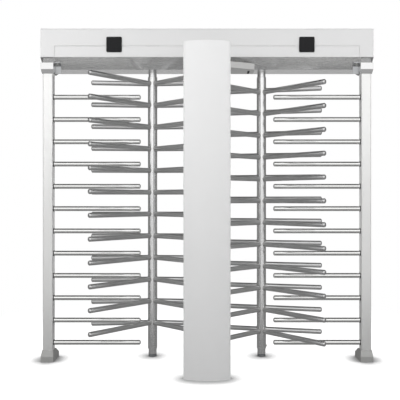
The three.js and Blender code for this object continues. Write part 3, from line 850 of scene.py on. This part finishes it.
def make_slot_shade():
    """Dark sheet in the slot of the head bracket's tray: painted shade where the open slot looks dark."""
    low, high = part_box("head_bracket")
    front = ROTOR_PLANE - LINTEL_FORWARD
    centre = (SLOT_OFFSET, (front + high.y) / 2)
    shade_sheet = Shape()
    outline = rounded_rectangle(centre, SLOT_WIDTH - 2 * GAP, high.y - front - 2 * GAP, GAP)
    swept(shade_sheet, outline, low.z + GAP, low.z + TRAY_FLOOR - GAP)
    shade_sheet.piece("slot_shade_sheet", MATERIALS["rubber"], "frame", "plastic")


# Stage


def flat_panel(name, corners, material):
    """One flat face of the studio."""
    mesh = bpy.data.meshes.new(name)
    mesh.from_pydata(corners, [], [(0, 1, 2, 3)])
    mesh.materials.append(material)
    panel = linked_object(name, mesh)
    panel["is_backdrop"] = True
    return panel


def level_square(reach, height):
    """Corners of a level square round the middle of the stage."""
    return [(x * reach, y * reach, height) for x, y in ((-1, -1), (1, -1), (1, 1), (-1, 1))]


def make_floor():
    """Pale floor, white to the camera except where the turnstile stands on it or shades it."""
    material, tree, shader = new_material("floor_paper")
    tree.feed(shader, {
        "Base Color": (FLOOR_COLOR, FLOOR_COLOR, FLOOR_COLOR, 1),
        "Roughness": 1,
        "Specular IOR Level": 0,
    })
    seen = tree.add("LightPath").outputs["Is Camera Ray"]
    # Painted contact shadow: the camera-only glow is dimmed by ambient occlusion near the turnstile
    contact = tree.add("AmbientOcclusion", {"Distance": FLOOR_CONTACT_REACH})
    deepened = tree.calculate("POWER", contact.outputs["AO"], FLOOR_CONTACT_POWER)
    strength = tree.calculate("MULTIPLY", deepened, FLOOR_GLOW)
    glow = tree.add("Emission", {"Strength": tree.calculate("MULTIPLY", strength, seen)})
    lit = tree.add("AddShader", {0: shader.outputs["BSDF"], 1: glow.outputs["Emission"]})
    distance = tree.add("VectorMath", {0: tree.place()}, operation="LENGTH").outputs["Value"]
    away = tree.ramp(distance, (FLOOR_WHITE_START, FLOOR_WHITE_END), (0, 1), "SMOOTHSTEP")
    clear = tree.calculate("MULTIPLY", away, seen)
    white = tree.add("Emission")
    blend = tree.add("MixShader", {0: clear, 1: lit.outputs["Shader"], 2: white.outputs["Emission"]})
    tree.show("Material Output", blend.outputs["Shader"])
    flat_panel("floor", level_square(FLOOR_REACH, 0), material)


def reflection_card(name, corners, near, far=None, fade=(0, 1)):
    """Studio card that only glossy surfaces see. Its brightness may change from near to far along Y."""
    material, tree, _ = new_material(name)
    axes = tree.add("SeparateXYZ", {"Vector": tree.place()})
    strength = tree.ramp(axes.outputs["Y"], fade, (near, near if far is None else far))
    glow = tree.add("Emission", {"Strength": strength})
    tree.show("Material Output", glow.outputs["Emission"])
    card = flat_panel(name, corners, material)
    card.visible_camera = False
    card.visible_diffuse = False
    card.visible_shadow = False
    card.visible_transmission = False


def make_cards():
    """Open booth round the turnstile: bright in front, darker above, beside, behind and below."""
    half, front, back, top = BOOTH_HALF_WIDTH, -BOOTH_FRONT, BOOTH_BACK, BOOTH_TOP
    for side in SIDES:
        x = outward(side) * half
        corners = [(x, front, 0), (x, back, 0), (x, back, top), (x, front, top)]
        reflection_card(f"{side}_card", corners, SIDE_GREY)
    above = [(-half, -TOP_FRONT, top), (half, -TOP_FRONT, top), (half, back, top), (-half, back, top)]
    reflection_card("top_card", above, TOP_GREY)
    for name, y, low, high, grey in (
        ("low_back_card", back, 0, BACK_SPLIT, BACK_LOW_GREY),
        ("high_back_card", back, BACK_SPLIT, top, BACK_HIGH_GREY),
        ("softbox_card", -SOFTBOX_DISTANCE, SOFTBOX_LOW, top, SOFTBOX_WHITE),
    ):
        upright = [(-half, y, low), (half, y, low), (half, y, high), (-half, y, high)]
        reflection_card(name, upright, grey)
    below = level_square(FLOOR_CARD_REACH, FLOOR_CARD_HEIGHT)
    fade = (FLOOR_FADE_START, FLOOR_FADE_END)
    reflection_card("floor_card", below, FLOOR_NEAR_GREY, FLOOR_FAR_GREY, fade)


def make_world():
    """Dim light from all round, and plain white to the camera and in gloss and glass."""
    world = bpy.data.worlds.new("studio")
    bpy.context.scene.world = world
    tree = Tree(world)
    dim = tree.nodes["Background"]
    tree.feed(dim, {"Color": WORLD_COLOR, "Strength": WORLD_STRENGTH})
    white = tree.add("Background", {"Color": (1, 1, 1, 1), "Strength": 1})
    rays = tree.add("LightPath").outputs
    seen = tree.calculate("MAXIMUM", rays["Is Camera Ray"], rays["Is Glossy Ray"])
    clear = tree.calculate("MAXIMUM", seen, rays["Is Transmission Ray"])
    mix = tree.add("MixShader", {0: clear, 1: dim.outputs["Background"], 2: white.outputs["Background"]})
    tree.show("World Output", mix.outputs["Shader"])


def make_lamps():
    """Soft square lamps turned to the turnstile, which don't show in its gloss."""
    target = Vector((0, ROTOR_PLANE, LAMP_TARGET_HEIGHT))
    for name, place, size, power in LAMPS:
        data = bpy.data.lights.new(name, "AREA")
        data.size = size
        data.energy = power
        data.spread = math.radians(LAMP_SPREAD)
        lamp = linked_object(name, data)
        lamp.location = place
        lamp.rotation_mode = "QUATERNION"
        lamp.rotation_quaternion = (target - Vector(place)).to_track_quat("-Z", "Y")
        lamp.visible_glossy = False


def make_camera():
    """Level camera at the photograph's place and angle of view."""
    data = bpy.data.cameras.new("photo_view")
    data.sensor_width = SENSOR_WIDTH
    data.lens = SENSOR_WIDTH * FOCAL_PIXELS / IMAGE_WIDTH
    data.shift_x = (IMAGE_WIDTH / 2 - AXIS_PIXEL) / IMAGE_WIDTH
    camera = linked_object("photo_view", data)
    camera.location = (0, ROTOR_PLANE - CAMERA_DISTANCE, CAMERA_HEIGHT)
    camera.rotation_euler = (math.pi / 2, 0, 0)
    bpy.context.scene.camera = camera


make_camera()
dress_cad_nodes()
for side in SIDES:
    make_rotor(side)
    make_comb(side)
    make_reader(side)
make_pillar()
make_bracket_bolts()
make_lintel_caps()
make_slot_shade()
make_floor()
make_cards()
make_world()
make_lamps()
bpy.context.scene.view_settings.view_transform = "Standard"

boxes = {"cad": cad_box, "visual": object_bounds()}
{key: [list(corner) for corner in box] for key, box in boxes.items()}
